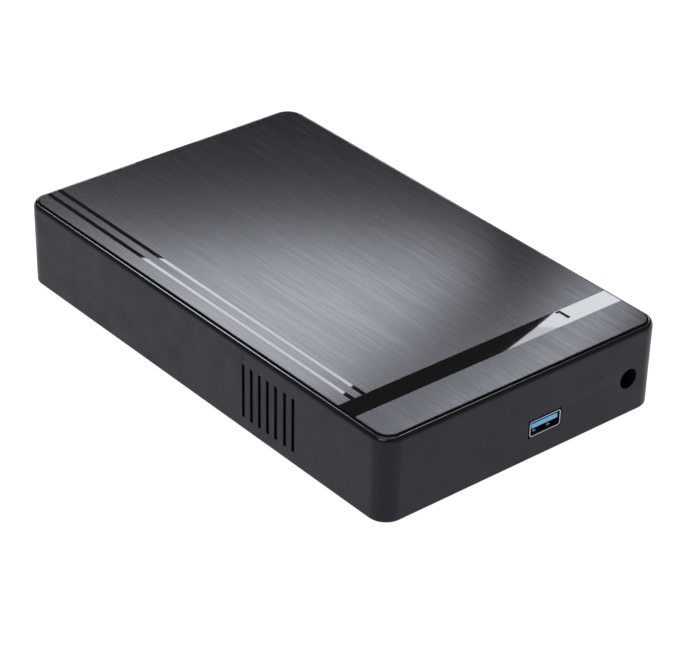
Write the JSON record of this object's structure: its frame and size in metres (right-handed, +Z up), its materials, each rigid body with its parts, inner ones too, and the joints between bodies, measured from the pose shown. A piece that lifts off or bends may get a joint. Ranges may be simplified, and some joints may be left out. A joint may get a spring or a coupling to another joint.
{
  "type": "external hard disk drive",
  "caption": "Desktop external hard disk drive: a black enclosure with a brushed top panel, USB and DC ports, and a complete disk drive inside.",
  "frame": {"origin": "under the middle of the object, on the surface it stands on", "axes": "+X towards the end with the ports, along the longest side; +Y to the left of +X; +Z up through the top panel"},
  "size_m": [0.19, 0.116, 0.032],
  "materials": {
    "case_plastic": "finely textured black moulding with a gloss rim",
    "brushed_panel": "dark grey hairline-brushed film",
    "gloss_plastic": "mirror-gloss black",
    "clear_plastic": "clear smoked plastic",
    "rubber": "matt",
    "foam": "closed-cell foam",
    "circuit_board": "solder-masked glass-epoxy board",
    "steel": "satin",
    "connector_metal": "plated",
    "blue_plastic": "satin",
    "black_plastic": "satin",
    "aluminium": "cast, satin",
    "white_plastic": "satin",
    "copper": "varnished copper winding",
    "flex_film": "amber polyimide film",
    "magnet": "nickel plated",
    "disc_mirror": "polished"
  },
  "bodies": {
    "case": {"bottom_case": "case_plastic", "rubber_foot_1": "rubber", "rubber_foot_2": "rubber", "rubber_foot_3": "rubber", "rubber_foot_4": "rubber", "floor_pad_1": "foam", "floor_pad_2": "foam", "bridge_board": "circuit_board", "board_screw_1": "steel", "board_screw_2": "steel", "usb_shell": "connector_metal", "usb_tongue": "blue_plastic", "dc_jack": "black_plastic", "dc_pin": "connector_metal", "sata_receptacle": "black_plastic", "bridge_chip": "black_plastic", "capacitor": "aluminium", "status_led": "clear_plastic", "light_pipe": "clear_plastic"},
    "latch": {"latch_tongue": "case_plastic"},
    "panel": {"top_panel": "brushed_panel", "gloss_inlay": "gloss_plastic", "indicator_window": "clear_plastic", "panel_pad_1": "foam", "panel_pad_2": "foam"},
    "drive": {"drive_base": "aluminium", "drive_gasket": "rubber", "drive_cover": "steel", "cover_screw_1": "steel", "cover_screw_2": "steel", "cover_screw_3": "steel", "cover_screw_4": "steel", "cover_screw_5": "steel", "cover_screw_6": "steel", "drive_label": "white_plastic", "drive_board": "circuit_board", "drive_sata_plug": "black_plastic", "controller_chip": "black_plastic", "memory_chip": "black_plastic", "air_filter": "white_plastic", "flex_circuit": "flex_film", "motor_stator": "copper", "pivot_bearing": "steel", "lower_yoke": "steel", "voice_magnet": "magnet", "upper_yoke": "steel", "head_ramp": "white_plastic"},
    "lock": {"actuator_lock": "white_plastic"},
    "rotor": {"spindle_hub": "aluminium", "platter_1": "disc_mirror", "platter_2": "disc_mirror", "platter_spacer": "aluminium", "platter_clamp": "steel", "clamp_screw": "steel"},
    "head_arm": {"head_arm_block": "aluminium", "voice_coil": "copper", "head_suspension_1": "steel", "head_suspension_2": "steel", "head_suspension_3": "steel", "head_suspension_4": "steel"}
  },
  "joints": [
    {"name": "panel_open", "type": "hinge", "parent": "case", "child": "panel", "pos_m": [0.093, 0, 0.032], "axis": [0, 1, 0], "range_deg": [0, 60]},
    {"name": "latch_release", "type": "hinge", "parent": "case", "child": "latch", "pos_m": [-0.0942, 0, 0.0083], "axis": [0, -1, 0], "range_deg": [0, 5], "stiffness_Nm_per_rad": 0.4},
    {"name": "drive_unplug", "type": "slide", "parent": "case", "child": "drive", "axis": [-1, 0, 0], "range_m": [0, 0.0052]},
    {"name": "spindle_spin", "type": "hinge", "parent": "drive", "child": "rotor", "pos_m": [-0.0331, 0, 0.014], "axis": [0, 0, 1], "continuous": true},
    {"name": "head_swing", "type": "hinge", "parent": "drive", "child": "head_arm", "pos_m": [0.02046, -0.0195, 0.017], "axis": [0, 0, 1], "range_deg": [0, 37]},
    {"name": "lock_turn", "type": "hinge", "parent": "drive", "child": "lock", "pos_m": [0.0469, -0.034, 0.0165], "axis": [0, 0, 1], "range_deg": [-6, 6]}
  ]
}
